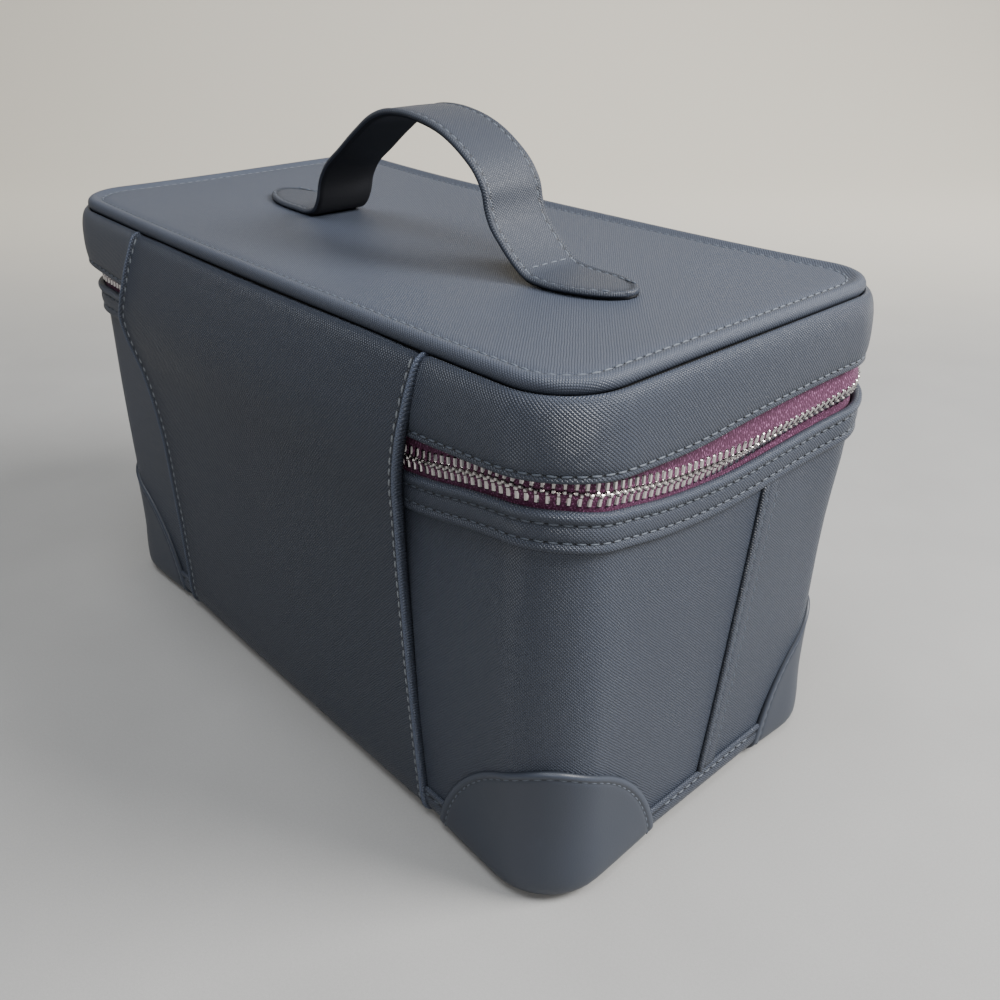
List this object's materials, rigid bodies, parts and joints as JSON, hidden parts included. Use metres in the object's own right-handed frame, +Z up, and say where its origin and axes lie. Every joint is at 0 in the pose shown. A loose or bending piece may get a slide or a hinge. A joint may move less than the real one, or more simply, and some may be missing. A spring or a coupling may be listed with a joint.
{
  "type": "cosmetic train case",
  "caption": "Stiff leatherette vanity case with a zip-round lid hinged by a wide leather panel, smooth corner patches and a stitched strap handle on top.",
  "frame": {"origin": "on the floor under the middle of the base", "axes": "+X along the case to the right, +Z up, -Y to the front with the zip pulls, +Y to the hinge panel"},
  "size_m": [0.308, 0.164, 0.2301],
  "materials": {
    "leatherette": "slate-grey coated leatherette with a fine cross-hatch emboss, satin",
    "smooth_leatherette": "slate-grey smooth leatherette, satin",
    "dark_leatherette": "dark grey backing leatherette, matte",
    "board": "dense grey-brown fibreboard, matte",
    "foam": "thin padding foam, matte",
    "zip_tape": "plum woven zip tape, matte",
    "zip_metal": "bright silver metal",
    "lining": "plum woven lining, matte",
    "binding": "dark plum binding tape, matte"
  },
  "bodies": {
    "case": {"front_cover": "leatherette", "rear_cover_left": "leatherette", "rear_cover_right": "leatherette", "hinge_panel_lower": "leatherette", "hinge_fold": "leatherette", "seam_strip_left": "leatherette", "seam_strip_right": "leatherette", "rim_band": "leatherette", "base_trim_front": "leatherette", "base_trim_left": "leatherette", "base_trim_right": "leatherette", "base_trim_back": "leatherette", "corner_patch_front_left": "smooth_leatherette", "corner_patch_front_right": "smooth_leatherette", "corner_patch_back_left": "smooth_leatherette", "corner_patch_back_right": "smooth_leatherette", "base_cover": "dark_leatherette", "base_board": "board", "wall_board": "board", "back_stiffener": "board", "wall_foam": "foam", "zip_tape_lower": "zip_tape", "zip_teeth_lower": "zip_metal", "wall_lining": "lining", "floor_lining": "lining", "rim_binding": "binding"},
    "lid": {"lid_wall_board": "board", "lid_wall_foam": "foam", "lid_wall_cover": "leatherette", "lid_top_board": "board", "lid_top_foam": "foam", "lid_top_cover": "leatherette", "lid_piping": "leatherette", "lid_piping_cord": "foam", "lid_ceiling_lining": "lining", "lid_wall_lining": "lining", "lid_binding": "binding", "zip_tape_upper": "zip_tape", "zip_teeth_upper": "zip_metal", "hinge_panel_upper": "leatherette", "handle_outer": "leatherette", "handle_core": "board", "handle_underside": "dark_leatherette"},
    "slider_left": {"zip_slider_left": "zip_metal"},
    "slider_right": {"zip_slider_right": "zip_metal"},
    "pull_left": {"zip_pull_left": "zip_metal"},
    "pull_right": {"zip_pull_right": "zip_metal"}
  },
  "joints": [
    {"name": "lid_hinge", "type": "hinge", "parent": "case", "child": "lid", "pos_m": [0, 0.0799, 0.1525], "axis": [-1, 0, 0], "range_deg": [0, 105], "deforming": ["hinge_fold"]},
    {"name": "zip_slide_left", "type": "slide", "parent": "case", "child": "slider_left", "axis": [-1, 0, 0], "range_m": [0, 0.113]},
    {"name": "zip_slide_right", "type": "slide", "parent": "case", "child": "slider_right", "axis": [1, 0, 0], "range_m": [0, 0.113]},
    {"name": "pull_swing_left", "type": "hinge", "parent": "slider_left", "child": "pull_left", "pos_m": [-0.008, -0.08025, 0.1525], "axis": [-1, 0, 0], "range_deg": [0, 150]},
    {"name": "pull_swing_right", "type": "hinge", "parent": "slider_right", "child": "pull_right", "pos_m": [0.008, -0.08025, 0.1525], "axis": [-1, 0, 0], "range_deg": [0, 150]}
  ]
}
